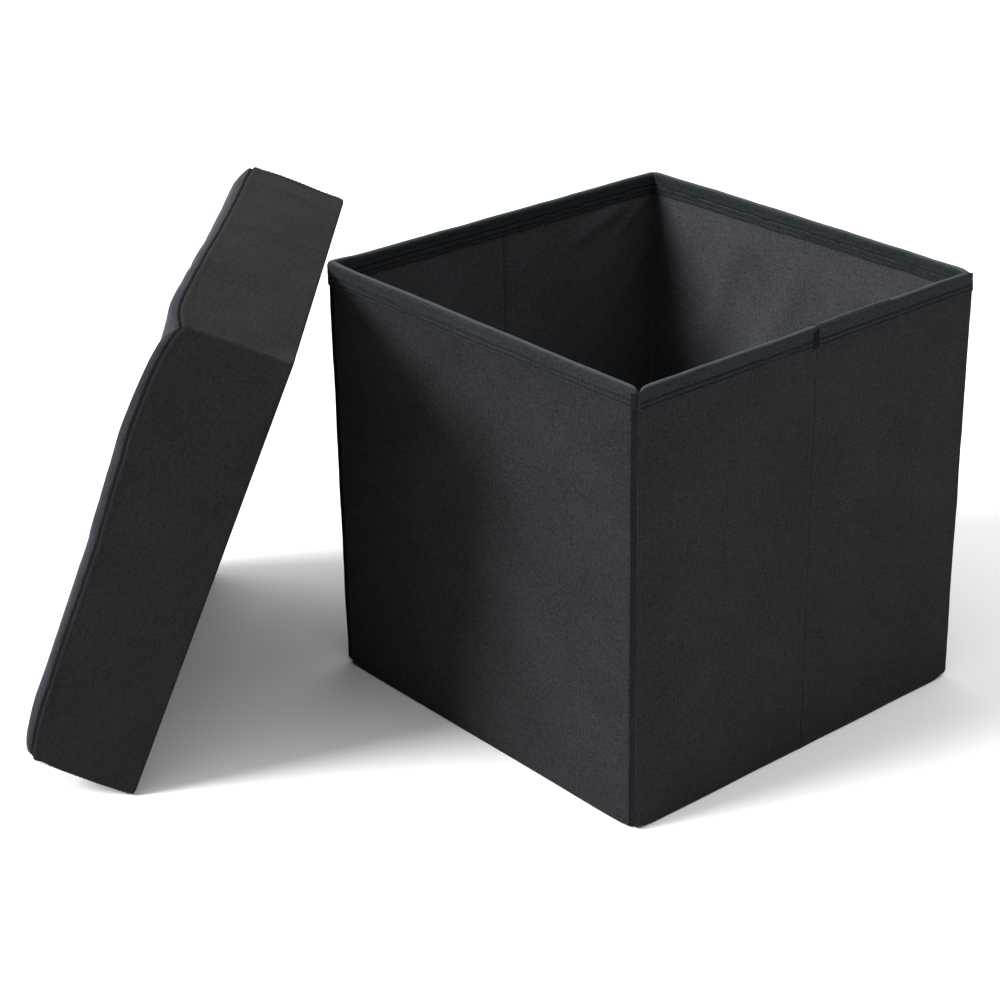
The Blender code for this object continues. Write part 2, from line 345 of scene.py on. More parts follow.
def box_points(place, height, stand_off, half_side=None, radius=None):
    """Points round the box at those places and heights, stood off outwards."""
    half_side = half if half_side is None else half_side
    radius = EDGE_RADIUS if radius is None else radius
    xy, normal = rounded_square(place, half_side, radius)
    xy = xy + normal * stand_off[..., None]
    return np.concatenate([xy, height[..., None]], -1)


def carry(piece, panel):
    """Rides a skin on its wall; a skin across a fold only has its placement baked into its points."""
    _, _, _, bodies, start, end = panel
    if len(bodies) == 1:
        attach(piece, bodies[0])
    else:
        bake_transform(piece)


def stands_for(panel, layer):
    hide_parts(*[f"{wall}_{layer}" for wall in NODE_PANELS[panel[0]]])


THREAD_MM = 0.9     # real threads are about 0.5 mm apart; drawn this coarse so that the weave shows


def woven(name, dark, light, thread_mm, roughness, sheen, relief=0.25, shine=0.1, highlight_band=None):
    """Plain-woven matte yarn: threads over and under, with slubs and flecks that catch the light.

    The last argument is (v, reach, colour) for a painted highlight: a pale band along a fold across the
    cloth."""
    material, tree, shader = new_material(name)
    where = add_node(tree, "ShaderNodeTexCoord").outputs["UV"]
    pitch = 1000.0 / (2 * thread_mm)
    drift = add_node(tree, "ShaderNodeTexNoise", {"Scale": 260.0, "Detail": 2.0}, {"Vector": where})
    shaken = add_node(
        tree, "ShaderNodeMix", {"Factor": 0.0011}, {4: where, 5: drift.outputs["Color"]},
        data_type="VECTOR")
    bands = [
        add_node(
            tree, "ShaderNodeTexWave", {"Scale": pitch / 3.1831}, {"Vector": shaken.outputs[1]},
            wave_type="BANDS", bands_direction=direction)
        for direction in ("X", "Y")]
    over = add_node(tree, "ShaderNodeTexChecker", {"Scale": pitch * 2}, {"Vector": shaken.outputs[1]})
    yarn = add_node(
        tree, "ShaderNodeMix", None,
        {0: over.outputs["Fac"], 2: bands[0].outputs["Fac"], 3: bands[1].outputs["Fac"]},
        data_type="FLOAT")
    slubs = []
    for stretch in ((1, 9, 1), (9, 1, 1)):
        mapped = add_node(tree, "ShaderNodeMapping", {"Scale": stretch}, {"Vector": where})
        slubs.append(add_node(
            tree, "ShaderNodeTexNoise", {"Scale": 75.0, "Detail": 3.0, "Roughness": 0.7},
            {"Vector": mapped.outputs["Vector"]}))
    slub = add_node(
        tree, "ShaderNodeMix", {"Factor": 0.5},
        {2: slubs[0].outputs["Fac"], 3: slubs[1].outputs["Fac"]}, data_type="FLOAT")
    fleck = add_node(
        tree, "ShaderNodeTexNoise", {"Scale": 440.0, "Detail": 2.0, "Roughness": 0.6}, {"Vector": where})
    handled = add_node(tree, "ShaderNodeTexNoise", {"Scale": 14.0, "Detail": 3.0}, {"Vector": where})
    tone = add_node(
        tree, "ShaderNodeMath", {1: 0.05}, {0: yarn.outputs[0], 2: slub.outputs[0]},
        operation="MULTIPLY_ADD")
    tone = add_node(
        tree, "ShaderNodeMath", {1: 0.85}, {0: fleck.outputs["Fac"], 2: tone.outputs[0]},
        operation="MULTIPLY_ADD")
    tone = add_node(
        tree, "ShaderNodeMath", {1: 0.30}, {0: handled.outputs["Fac"], 2: tone.outputs[0]},
        operation="MULTIPLY_ADD")
    spread = add_node(
        tree, "ShaderNodeMapRange", {"From Min": 0.84, "From Max": 1.31}, {"Value": tone.outputs[0]})
    colour = add_node(tree, "ShaderNodeValToRGB", None, {"Fac": spread.outputs["Result"]})
    ends = colour.color_ramp.elements
    ends[0].position, ends[0].color = 0.0, srgb(dark)
    ends[1].position, ends[1].color = 1.0, srgb(light)
    skin = colour.outputs["Color"]
    # Painted highlight: a pale band along one line of the cloth's UV map.
    if highlight_band:
        across = add_node(tree, "ShaderNodeSeparateXYZ", None, {"Vector": where}).outputs["Y"]
        off = add_node(tree, "ShaderNodeMath", {1: highlight_band[0]}, {0: across}, operation="SUBTRACT")
        off = add_node(tree, "ShaderNodeMath", None, {0: off.outputs[0]}, operation="ABSOLUTE")
        highlight_share = add_node(
            tree, "ShaderNodeMapRange",
            {"From Min": 0.3 * highlight_band[1], "From Max": highlight_band[1], "To Min": 1.0, "To Max": 0.0},
            {"Value": off.outputs[0]})
        skin = add_node(
            tree, "ShaderNodeMix", {7: srgb(highlight_band[2])}, {0: highlight_share.outputs["Result"], 6: skin},
            data_type="RGBA").outputs[2]
    tree.links.new(skin, shader.inputs["Base Color"])
    height = add_node(
        tree, "ShaderNodeMath", {1: 0.6}, {0: fleck.outputs["Fac"], 2: yarn.outputs[0]},
        operation="MULTIPLY_ADD")
    bump = add_node(
        tree, "ShaderNodeBump", {"Strength": relief, "Distance": 0.0004}, {"Height": height.outputs[0]})
    tree.links.new(bump.outputs["Normal"], shader.inputs["Normal"])
    shader.inputs["Roughness"].default_value = roughness
    shader.inputs["Specular IOR Level"].default_value = shine
    shader.inputs["Sheen Weight"].default_value = sheen
    shader.inputs["Sheen Roughness"].default_value = 0.3
    shader.inputs["Sheen Tint"].default_value = srgb("#C8C8D4")
    return material


# Charcoal where the light rakes it and near black in shade, with no gloss.
black_polyester = woven("woven_black_polyester", "#111013", "#262629", THREAD_MM, 0.9, 0.05)
COVER_STEP = 0.0035


def add_cover(panel):
    name, first, last = panel[:3]
    places = spread_places(first, last, COVER_STEP, CORNERS + CREASES, 0.0004, 0.0088)
    heights = np.concatenate([
        [wall_low], np.arange(wall_low + 0.0012, 0.016, 0.0012),
        np.arange(0.018, rim_top - 0.002, COVER_STEP), [rim_top - 0.002]])
    place, height = np.meshgrid(places, heights)
    points = box_points(place, height, cover_relief(place, height))
    uv = np.stack([place * side, height], -1)
    cover = grid_piece("cover_" + name, points, uv, black_polyester)
    stands_for(panel, "cover")
    carry(cover, panel)


for panel in PANELS:
    add_cover(panel)

# ---- Corner seams -------------------------------------------------------------------------------
# Beside each upright edge the cover's raw edges are joined and covered by a narrow strip of the
# same cloth, which lies lower than the walls. Its colour is darkened with painted shade, so that it reads as
# a dark channel down the corner.
# Strips as (name, corner, way along the wall, CAD node, panel they are sewn to).
SEAM_STRIPS = (
    ("corner_seam_near", 4.0, -1, "front_left_corner_seam", PANELS[0]),
    ("corner_seam_right", 1.0, 1, "front_right_corner_seam", PANELS[2]),
    ("corner_seam_back", 2.0, -1, "back_right_corner_seam", PANELS[3]),
    ("corner_seam_left", 3.0, 1, "back_left_corner_seam", PANELS[6]))

# Painted shade: darker than the walls, so that the channel reads as a shadow line.
seam_fabric_painted_shade = woven("seam_polyester_painted_shade", "#08080A", "#151517", THREAD_MM, 0.95, 0.0,
                   shine=0.05)


def add_corner_seam(name, corner, way, node, panel):
    across = np.linspace(0.0006, SEAM_BAND - 0.0004, 12) * way / side
    heights = np.arange(wall_low, rim_top - 0.004, 0.003)
    place, height = np.meshgrid(corner + np.sort(across), heights)
    inset = np.abs(place - corner) * side
    dip = SEAM_DEPTH * 0.75 * np.sin(math.pi * inset / SEAM_BAND) ** 0.5
    wander = 0.00012 * soft_field(place * side, height, 0.006, 0.02, 21)
    stand_off = -dip + wander - foot_turn(place, height)
    uv = np.stack([place * side + height, height - place * side], -1)
    strip = grid_piece(name, box_points(place, height, stand_off), uv, seam_fabric_painted_shade)
    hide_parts(node)
    carry(strip, panel)


for strip in SEAM_STRIPS:
    add_corner_seam(*strip)

for panel in PANELS:
    name, first, last = panel[:3]

# ---- Stiffening boards --------------------------------------------------------------------------
# Brown fibreboard, die-cut with rounded corners and slipped between cover and lining. The creased
# walls have two boards each, so that they can fold at the middle.
BOARD_CORNER = 0.010
BOARD_END_TRIM = 0.0085     # the stiff walls' boards stop clear of the sewn corners


def fibreboard_material():
    """Pressed wood fibre: matt brown, speckled with pale and dark fibres."""
    material, tree, shader = new_material("pressed_fibreboard")
    where = add_node(tree, "ShaderNodeTexCoord").outputs["Object"]
    drawn = add_node(tree, "ShaderNodeMapping", {"Scale": (1, 1, 3)}, {"Vector": where})
    fibre = add_node(
        tree, "ShaderNodeTexNoise", {"Scale": 420.0, "Detail": 4.0}, {"Vector": drawn.outputs["Vector"]})
    colour = add_node(tree, "ShaderNodeValToRGB", None, {"Fac": fibre.outputs["Fac"]})
    ends = colour.color_ramp.elements
    ends[0].position, ends[0].color = 0.3, srgb("#5A4227")
    ends[1].position, ends[1].color = 0.7, srgb("#9C7B52")
    bump = add_node(
        tree, "ShaderNodeBump", {"Strength": 0.3, "Distance": 0.0003}, {"Height": fibre.outputs["Fac"]})
    tree.links.new(colour.outputs["Color"], shader.inputs["Base Color"])
    tree.links.new(bump.outputs["Normal"], shader.inputs["Normal"])
    shader.inputs["Roughness"].default_value = 0.8
    return material


fibreboard = fibreboard_material()
in_box = Matrix.Identity(4)


def box_of(node, placed):
    """A CAD node's lowest and highest corner in a placed piece's own frame."""
    corners = np.array([placed.inverted() @ v.co for v in frame["nodes"][node].data.vertices])
    return corners.min(0), corners.max(0)


def add_board(node, body, placed, trim=0.0, clear_low=0.0, clear_high=0.0):
    """A die-cut board with rounded corners in place of a plain CAD board."""
    low, high = box_of(node, placed)
    thin = int(np.argmin(high - low))
    a, b = [axis for axis in range(3) if axis != thin]
    low[a] += trim
    high[a] -= trim
    low[b] += clear_low
    high[b] -= clear_high
    radius = min(BOARD_CORNER, (high[b] - low[b]) / 4)
    outline = []
    for x, y, start in ((1, 1, 0), (0, 1, 90), (0, 0, 180), (1, 0, 270)):
        centre_a = (low[a] + radius, high[a] - radius)[x]
        centre_b = (low[b] + radius, high[b] - radius)[y]
        for angle in np.radians(np.linspace(start, start + 90, 7)):
            outline.append((centre_a + radius * math.cos(angle), centre_b + radius * math.sin(angle)))
    count = len(outline)
    points = np.zeros((2 * count, 3))
    points[:, [a, b]] = outline * 2
    points[:count, thin] = low[thin]
    points[count:, thin] = high[thin]
    faces = [list(range(count))[::-1], list(range(count, 2 * count))]
    faces += [[i, (i + 1) % count, count + (i + 1) % count, count + i] for i in range(count)]
    if thin == 1:
        faces = [face[::-1] for face in faces]
    mesh = bpy.data.meshes.new("die_cut_" + node)
    mesh.from_pydata(points.tolist(), [], faces)
    mesh.transform(placed)
    mesh.materials.append(fibreboard)
    board = bpy.data.objects.new("die_cut_" + node, mesh)
    bpy.context.scene.collection.objects.link(board)
    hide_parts(node)
    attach(board, body)


for wall in ("left_wall", "right_wall"):
    add_board(wall + "_board", wall, in_box, BOARD_END_TRIM, 0.002)
for wall in ("front_left", "front_right", "back_left", "back_right"):
    add_board(wall + "_board", wall + "_half", in_box, 0.0, 0.002)

# ---- Lining -------------------------------------------------------------------------------------
# Thin black non-woven, loose enough to wrinkle where the boards push it in. It is sewn to the cover
# under the rim tape and at the corners.
LINING_CORNER = 0.0012
LINING_STEP = 0.0045

# Greyer and flatter than the cover, so the inside looks paler where light falls in.
lining_cloth = woven("non_woven_lining", "#242527", "#3D3E42", 0.8, 0.95, 0.05, relief=0.2)


def lining_relief(place, height):
    """How far the lining stands off its board, into the box."""
    u = np.mod(place, 4.0) * side
    loose = ramp(height, 0.004, 0.03) * ramp(rim_top - height, 0.014, 0.045)
    at_corner = ramp(np.abs(from_nearest(place, CORNERS[:4])), 0.0, 0.02)
    relief = 0.0004 + 0.0004 * soft_field(u, height, 0.04, 0.12, 11)
    right = ramp(u - side, 0.01, 0.08) * ramp(2 * side - u, 0.0, 0.05)
    relief += right * (0.0009 + 0.0010 * soft_field(u, height * 0.7, 0.06, 0.15, 12, waves=6))
    into = (2.0 - np.mod(place, 4.0)) * side
    relief += 0.0026 * fold(into, height, (0.125, 0.362), (0.070, 0.215), 0.013)
    relief += 0.0028 * fold(into, height, (0.200, 0.352), (0.135, 0.205), 0.015)
    relief += 0.0016 * fold(into, height, (0.235, 0.330), (0.350, 0.318), 0.010)
    back = (np.mod(place, 4.0) - 2.0) * side
    pulled = 0.0026 * fold(back, height, (0.002, 0.366), (0.050, 0.330), 0.0030)
    pulled += 0.0030 * fold(back, height, (0.020, 0.368), (0.110, 0.334), 0.0070)
    relief += 0.0010 * fold(back, height, (0.003, 0.330), (0.050, 0.255), 0.0050)
    relief -= 0.0009 * bump_at(from_nearest(place, CREASES), 0.0012)
    relief = np.clip(relief * loose * at_corner, -0.0003, 0.0042) + pulled * ramp(
        rim_top - height, 0.014, 0.024)
    return relief - 0.0010 * bump_at(from_nearest(place, CREASES), 0.0006)


def add_lining(panel):
    name, first, last = panel[:3]
    places = spread_places(first, last, LINING_STEP, CORNERS + CREASES, 0.0005, 0.003)
    heights = np.concatenate([[wall_low], np.arange(0.008, rim_top - 0.003, LINING_STEP), [rim_top - 0.003]])
    place, height = np.meshgrid(places, heights)
    inner = half - wall_thick
    points = box_points(place, height, -lining_relief(place, height), inner, LINING_CORNER)
    lining = grid_piece(
        "lining_" + name, points, np.stack([place * side, height], -1), lining_cloth, flip=True)
    stands_for(panel, "lining")
    carry(lining, panel)


for panel in PANELS:
    add_lining(panel)

# ---- Rim tape -----------------------------------------------------------------------------------
# A cotton-polyester tape folded over the top edge and run down with two rows of lockstitch. Its
# ends are tucked under at the corners, and its join lies on the front wall.
TAPE_ROUND = (wall_thick + 2 * tape_proud) / 2
TAPE_STEP = 0.0025
TUCK = 0.0011
TAPE_JOIN = (0.505, 0.732)
# Painted shade: dark patches laid on the tape, listed by panel.
TAPE_PATCHES = {"near_corner": ["painted_shade_near_corner"], "front_crease": ["painted_shade_crease"]}
STITCH_ROWS = (0.0022, 0.0062)
CORNER_NOTCH = ((0.0042, 0.0028), (0.0050, 0.0055), (0.0010, 0.0030), (0.0003, 0.0030))
STITCH_LENGTH = 0.0029
STITCH_PITCH = 0.0037
THREAD_RADIUS = 0.00028

TAPE_FOLD_AT = rim_top - TAPE_ROUND - tape_low + TUCK + math.pi * TAPE_ROUND / 2
# A cool green-black, with a painted highlight along the fold at the rim's top.
tape_cloth = woven("folded_cotton_tape", "#111517", "#24292C", 0.8, 0.85, 0.05,
                   highlight_band=(TAPE_FOLD_AT, 0.0030, "#3A3F41"))


def tape_profile(lift=0.0):
    """Stand-off and height of each line along the folded tape, from its inner edge to its outer."""
    inner = -wall_thick - tape_proud
    legs = np.linspace(tape_low, rim_top - TAPE_ROUND, 24)
    rows = [(inner + TUCK, tape_low + 0.0006), (inner - lift, tape_low)]
    rows += [(inner - lift, z) for z in legs[1:-1]]
    for angle in np.radians(np.linspace(0, 180, 11)):
        across = (TAPE_ROUND + lift) * -math.cos(angle)
        rows.append((across + tape_proud - TAPE_ROUND, legs[-1] + (TAPE_ROUND + lift) * math.sin(angle)))
    rows += [(tape_proud + lift, z) for z in legs[-2:0:-1]]
    return rows + [(tape_proud + lift, tape_low), (tape_proud - TUCK, tape_low + 0.0006)]


def tape_relief(place, height, outer):
    u = np.mod(place, 4.0) * side
    relief = 0.00018 * soft_field(u, height, 0.008, 0.03, 31)
    for row in STITCH_ROWS:
        relief -= 0.0013 * bump_at(height - tape_low - row, 0.0010)
        relief += 0.0003 * bump_at(height - tape_low - row - 0.0021, 0.0012)
    pinch = (0.0008 + 0.0003 * soft_field(u, height, 0.004, 0.010, 34)) * bump_at(
        from_nearest(place, CREASES[:1]), 0.0035)
    relief -= pinch * outer + 0.0002 * bump_at(from_nearest(place, CREASES), 0.0010) * outer
    return relief * ramp(np.abs(from_nearest(place, CORNERS[:4])), 0.0, 0.005)


def tape_sheet(name, first, last, lift, trim=()):
    places = spread_places(first, last, TAPE_STEP, CORNERS + CREASES, 0.0004, 0.005)
    rows = np.array(tape_profile(lift))
    place, stand_off = np.meshgrid(places, rows[:, 0])
    height = np.meshgrid(places, rows[:, 1])[1]
    outer = ramp(stand_off, -TAPE_ROUND, tape_proud)
    share_up = np.clip((height - tape_low) / (rim_top - tape_low), 0, 1)
    edge_wave = 0.0005 * soft_field(place * side, 0 * place, 0.02, 0.07, 32)
    rim_wave = 0.0003 * soft_field(place * side, 0 * place, 0.03, 0.10, 33)
    rim_wave += 0.0022 * ramp(np.mod(place, 4.0), 1.0, 1.8) * ramp(-np.mod(place, 4.0), -4.0, -3.2)
    rim_wave += 0.0016 * bump_at(from_nearest(place, (3.0,)), 0.02)
    notch = sum(
        depth * np.exp(-(np.abs(from_nearest(place, (float(corner),))) / reach) ** 1.5)
        for corner, (depth, reach) in enumerate(CORNER_NOTCH))
    relief = tape_relief(place, height, outer)
    height = height + edge_wave * (1 - share_up) + (rim_wave - notch) * share_up
    middle = (tape_proud * 2 + wall_thick) / 2 - tape_proud
    squeeze = notch * 0.22 * share_up
    stand_off = stand_off + np.where(stand_off > -middle, relief - squeeze, -relief + squeeze)
    radius = np.maximum(EDGE_RADIUS + stand_off, 0.0006)
    points = box_points(place, height, 0 * place, half + stand_off, radius)
    run = np.concatenate([[0], np.cumsum(np.hypot(*np.diff(rows, axis=0).T))])
    uv = np.stack([place * side, np.meshgrid(places, run)[1]], -1)
    tape = grid_piece(name, points, uv, tape_cloth, flip=True)
    return tape


def add_tape(panel):
    tape = tape_sheet("rim_tape_" + panel[0], *panel[1:3], 0.0, TAPE_PATCHES.get(panel[0], ()))
    stands_for(panel, "binding")
    carry(tape, panel)


def thread_material():
    """Twisted polyester thread: smoother than the cloth, so it glints along each stitch."""
    material, tree, shader = new_material("twisted_polyester_thread")
    where = add_node(tree, "ShaderNodeTexCoord").outputs["Object"]
    twist = add_node(tree, "ShaderNodeTexNoise", {"Scale": 1500.0, "Detail": 1.0}, {"Vector": where})
    colour = add_node(tree, "ShaderNodeValToRGB", None, {"Fac": twist.outputs["Fac"]})
    ends = colour.color_ramp.elements
    ends[0].position, ends[0].color = 0.3, srgb("#0B0C0D")
    ends[1].position, ends[1].color = 0.7, srgb("#1B1D20")
    tree.links.new(colour.outputs["Color"], shader.inputs["Base Color"])
    shader.inputs["Roughness"].default_value = 0.75
    shader.inputs["Specular IOR Level"].default_value = 0.15
    return material


black_thread = thread_material()


def stitches(name, centres, tangents, normals, length=STITCH_LENGTH, radius=THREAD_RADIUS):
    """Short rounded stitches, each bowed a little out of the cloth at its middle, as one piece."""
    sides, stations = 6, np.array([-1.0, -0.8, 0.0, 0.8, 1.0])
    girth = np.array([0.35, 0.9, 1.0, 0.9, 0.35]) * radius
    bow = (1 - stations ** 2) * radius * 0.9 - radius * 0.5
    angle = np.arange(sides) * 2 * math.pi / sides
    across = np.cross(normals, tangents)
    along = stations[None, :, None] * tangents[:, None] * length / 2
    spine = centres[:, None] + along + bow[None, :, None] * normals[:, None]
    ring = np.cos(angle)[None, None, :, None] * across[:, None, None]
    ring = ring + np.sin(angle)[None, None, :, None] * normals[:, None, None]
    points = spine[:, :, None] + girth[None, :, None, None] * ring
    per = len(stations) * sides
    faces = []
    for s in range(len(centres)):
        base = s * per
        for k in range(len(stations) - 1):
            for j in range(sides):
                a, b = base + k * sides + j, base + k * sides + (j + 1) % sides
                faces.append([a, b, b + sides, a + sides])
        faces.append([base + j for j in range(sides)][::-1])
        faces.append([base + per - sides + j for j in range(sides)])
    return new_piece(name, points.reshape(-1, 3), faces, black_thread)


def wall_stitches(panel):
    """The tape's two rows of lockstitch on one panel, outside and inside."""
    first, last = panel[1:3]
    count = int((last - first) * side / STITCH_PITCH)
    places = first + (np.arange(count) + 0.5) / count * (last - first)
    clear = np.abs(from_nearest(places, CORNERS[:4] + CREASES)) > STITCH_LENGTH * 0.75
    places = places[clear]
    rows = []
    for out in (1, -1):
        for up in STITCH_ROWS:
            wave = 0.0005 * soft_field(places * side, 0 * places, 0.02, 0.07, 32)
            stand_off = tape_proud - 0.0001 if out == 1 else -wall_thick - tape_proud + 0.0001
            reach = half + stand_off * np.ones_like(places)
            xy, normal = rounded_square(places, reach, max(EDGE_RADIUS + stand_off, 0.0006))
            centre = np.column_stack([xy, tape_low + up + wave])
            normal = np.column_stack([normal * out, 0 * places])
            tangent = np.cross(np.array([0.0, 0.0, 1.0]), normal) * out
            rows.append((centre, tangent, normal))
    made = stitches("tape_stitching_" + panel[0], *[np.concatenate(r) for r in zip(*rows)])
    carry(made, panel)


def add_painted_shade_patch(name, first, last, panel):
    """A short dark piece laid flat over the tape's face where it is pinched: painted shade, in the seam's
    dark cloth.
    """
    places = np.linspace(first, last, 9)
    heights = np.linspace(tape_low - 0.0004, rim_top - TAPE_ROUND - 0.0004, 12)
    place, height = np.meshgrid(places, heights)
    edge = np.minimum(place - first, last - place) * side
    stand_off = tape_proud + 0.0004 * ramp(edge, -0.0004, 0.0012) + 0.0001 * soft_field(
        place * side, height, 0.004, 0.01, 35) - 0.0002
    points = box_points(place, height, 0 * place, half + stand_off, EDGE_RADIUS + stand_off)
    patch = grid_piece(name, points, np.stack([place * side, height], -1), seam_fabric_painted_shade)
    carry(patch, panel)


# Painted shade: dark patches on the tape at the near corner and at the front crease.
add_painted_shade_patch("painted_shade_near_corner", 4.0 - 0.0082 / side, 4.0 - 0.0008 / side, PANELS[0])
add_painted_shade_patch("painted_shade_crease", 0.5 - 0.0046 / side, 0.5 + 0.0024 / side, PANELS[1])

for panel in PANELS:
    add_tape(panel)
    wall_stitches(panel)


def add_tape_join():
    """Where the tape's two ends meet they overlap, and the upper layer makes a step."""
    join = tape_sheet("rim_tape_join", *TAPE_JOIN, 0.0007)
    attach(join, "front_right_half")


add_tape_join()


def ring_sheet(name, rings, places, material, hub_first=None, hub_last=None):
    """A sheet of rounded-square rings given as (half side, corner radius, height), closed by hubs."""
    layers, spans = [], [0.0]
    for half_side, radius, height in rings:
        half_side, height = half_side + 0 * places, height + 0 * places
        xy, _ = rounded_square(places, half_side, np.clip(radius + 0 * places, 0.0005, half_side * 0.9))
        layers.append(np.column_stack([xy, height]))
        if len(layers) > 1:
            spans.append(spans[-1] + float(np.median(np.linalg.norm(layers[-1] - layers[-2], axis=1))))
    count = len(places)
    points = np.concatenate(layers)
    total = spans[-1] + float(np.median(rings[-1][0] + 0 * places))
    uv = []
    for span in spans:
        reach = total - span
        unrolled, _ = rounded_square(places, abs(reach) + 0.001 + 0 * places, 0.0008 + 0 * places)
        uv.append(unrolled if reach >= 0 else -unrolled)
    uv = np.concatenate(uv)
    faces = []
    for k in range(len(rings) - 1):
        for i in range(count):
            j = (i + 1) % count
            faces.append([k * count + i, k * count + j, (k + 1) * count + j, (k + 1) * count + i])
    for hub, ring in ((hub_first, 0), (hub_last, len(rings) - 1)):
        if hub is None:
            continue
        points = np.vstack([points, [0, 0, hub]])
        uv = np.vstack([uv, [0, 0] if ring else [2 * total, 2 * total]])
        middle = len(points) - 1
        loop = [[ring * count + i, ring * count + (i + 1) % count, middle] for i in range(count)]
        faces += loop if ring else [f[::-1] for f in loop]
    return new_piece(name, points, faces, material, uv)


def round_places(step, fine):
    """Places right round, without repeating the first, closer together at the corners."""
    return spread_places(0.0, 4.0, step, CORNERS, fine, 0.012)[:-1]


def add_fabric_floor():
    places = round_places(0.006, 0.0012)
    rings = []
    for height in (wall_low, 0.0034, 0.0024, 0.0016, 0.0010, 0.0006, 0.0003, 0.00015):
        level = height + 0 * places
        rings.append((half + cover_relief(places, level), EDGE_RADIUS, height))
    for inset in (0.014, 0.02, 0.04, 0.07, 0.10, 0.13, 0.16, 0.18):
        sag = 0.00010 * soft_field(places * side, 0 * places + inset, 0.05, 0.1, 41)
        rings.append((half - inset, EDGE_RADIUS, 0.00025 + sag))
    floor_sheet = ring_sheet("sewn_floor", rings, places, black_polyester, hub_last=0.00025)
    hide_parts("fabric_floor")
    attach(floor_sheet, "left_wall")
    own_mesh(floor_sheet)


add_fabric_floor()

# ---- Loose base ---------------------------------------------------------------------------------
# A board in a sewn sleeve of lining cloth that lies on the fabric floor and holds the box square.
# It has a ribbon to lift it by, so that the box can be folded flat.
base_low, base_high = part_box("base_board")
base_half = base_high.x
sleeve_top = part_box("base_cover")[1].z
SLEEVE_CORNER = 0.006
RIBBON_ARCH = 0.006

add_board("base_board", "base", in_box, 0.003, 0.003, 0.003)


def add_sleeve():
    places = round_places(0.006, 0.0015)
    low, high = base_low.z - 0.00022, sleeve_top - 0.0001
    middle, rise = (low + high) / 2, (high - low) / 2
    rings = [(base_half - inset, SLEEVE_CORNER, low) for inset in (0.16, 0.12, 0.08, 0.04, 0.012, 0.004)]
    for angle in np.radians((-70, -35, 0, 35, 70)):
        edge = base_half - 0.0022 + 0.0020 * math.cos(angle)
        rings.append((edge, SLEEVE_CORNER, middle + rise * math.sin(angle)))
    for inset in (0.004, 0.009, 0.015, 0.025, 0.04, 0.06, 0.08, 0.10, 0.12, 0.14, 0.16, 0.172):
        xy, _ = rounded_square(places, base_half - inset + 0 * places, SLEEVE_CORNER)
        puff = 0.0002 + 0.0005 * soft_field(xy[:, 0], xy[:, 1], 0.05, 0.16, 51)
        rings.append((base_half - inset, SLEEVE_CORNER, high + puff * ramp(inset, 0.0, 0.04)))
    sleeve = ring_sheet("base_sleeve", rings, places, lining_cloth, hub_first=low, hub_last=high)
    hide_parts("base_cover")
    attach(sleeve, "base")


def add_ribbon():
    """A woven ribbon sewn down at both ends, with room for a finger under its middle."""
    low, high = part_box("base_pull_tab")
    length, width = high.x - low.x, high.y - low.y
    x, y = np.meshgrid(np.linspace(low.x, high.x, 41), np.linspace(low.y, high.y, 9))
    along = (x - low.x) / length
    arch = RIBBON_ARCH * ramp(along, 0.16, 0.5) * ramp(1 - along, 0.16, 0.5)
    curl = 0.0006 * ((y - (low.y + high.y) / 2) / width * 2) ** 2 * arch / RIBBON_ARCH
    points = np.stack([x, y, low.z + 0.0007 + arch + curl], -1)
    ribbon = grid_piece("pull_ribbon", points, np.stack([x, y], -1), tape_cloth)
    thick = ribbon.modifiers.new("ribbon", "SOLIDIFY")
    thick.thickness = 0.0007
    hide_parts("base_pull_tab")
    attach(ribbon, "base")
    rows = []
    for end in (low.x + 0.002, low.x + 0.010, high.x - 0.010, high.x - 0.002):
        for step in np.linspace(-0.4, 0.4, 6):
            rows.append((end, step * width, low.z + 0.0011))
    centres = np.array(rows)
    tangents = np.tile([0.0, 1.0, 0.0], (len(rows), 1))
    normals = np.tile([0.0, 0.0, 1.0], (len(rows), 1))
    sewn = stitches("ribbon_stitching", centres, tangents, normals)
    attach(sewn, "base")


add_sleeve()
add_ribbon()

# ---- Lid sides ----------------------------------------------------------------------------------
# Four boarded panels of the cover cloth, sewn together at the corners and folded over at the rim.
# The foam above pulls their top seam up between the corners and draws it down at them.
LID_RIM_ROUND = 0.0016
LID_RIM_CORNER = 0.0065
LID_EDGE = 0.0035
LID_STEP = 0.0036
HEM_UP = 0.013
GROOVE = 0.0030
SEAM_RISE_AT = (0.0, 0.5, 0.75, 1.0, 1.3, 1.75, 2.0, 3.0, 4.0)
SEAM_RISE = (0.0070, 0.0075, 0.0115, 0.0100, 0.0070, 0.0015, 0.0015, 0.0065, 0.0070)
LID_SIDES = ("front", "right", "back", "left")


def lid_placing():
    """The lid's own frame: X up the lean, Y along the edge it stands on, Z out of the padded top."""
    hinge = next(j for j in frame["joints"] if j["name"] == "lid_tip")
    along = -Vector(hinge["axis"]).normalized()
    mesh = frame["nodes"]["lid_board"].data
    face = max(mesh.polygons, key=lambda p: p.area * (p.normal.z > 0))
    out = face.normal.copy()
    rise = along.cross(out).normalized()
    turned = Matrix((rise, along, out)).transposed().to_4x4()
    skirts = [box_of(f"lid_{name}_skirt_cover", turned) for name in LID_SIDES]
    low = np.min([b[0] for b in skirts], 0)
    high = np.max([b[1] for b in skirts], 0)
    middle = ((low[0] + high[0]) / 2, (low[1] + high[1]) / 2, low[2])
    return turned @ Matrix.Translation(middle), (high[0] - low[0]) / 2


lid_placed, lid_half = lid_placing()
lid_side = 2 * lid_half
lid_deep = box_of("lid_top_cover", lid_placed)[0][2]
cavity = box_of("lid_left_skirt_lining", lid_placed)[1][2]

# The cover cloth with painted shade, drawn a little blacker, and with painted light, a paler neutral grey,
# for the side that faces up.
lid_fabric_painted_shade = woven("lid_polyester_painted_shade", "#0C0C0D", "#1D1D1F", THREAD_MM, 0.9, 0.06)
lid_fabric_painted_light = woven("lid_polyester_painted_light", "#11110F", "#2A2A2A", THREAD_MM, 0.9, 0.06)


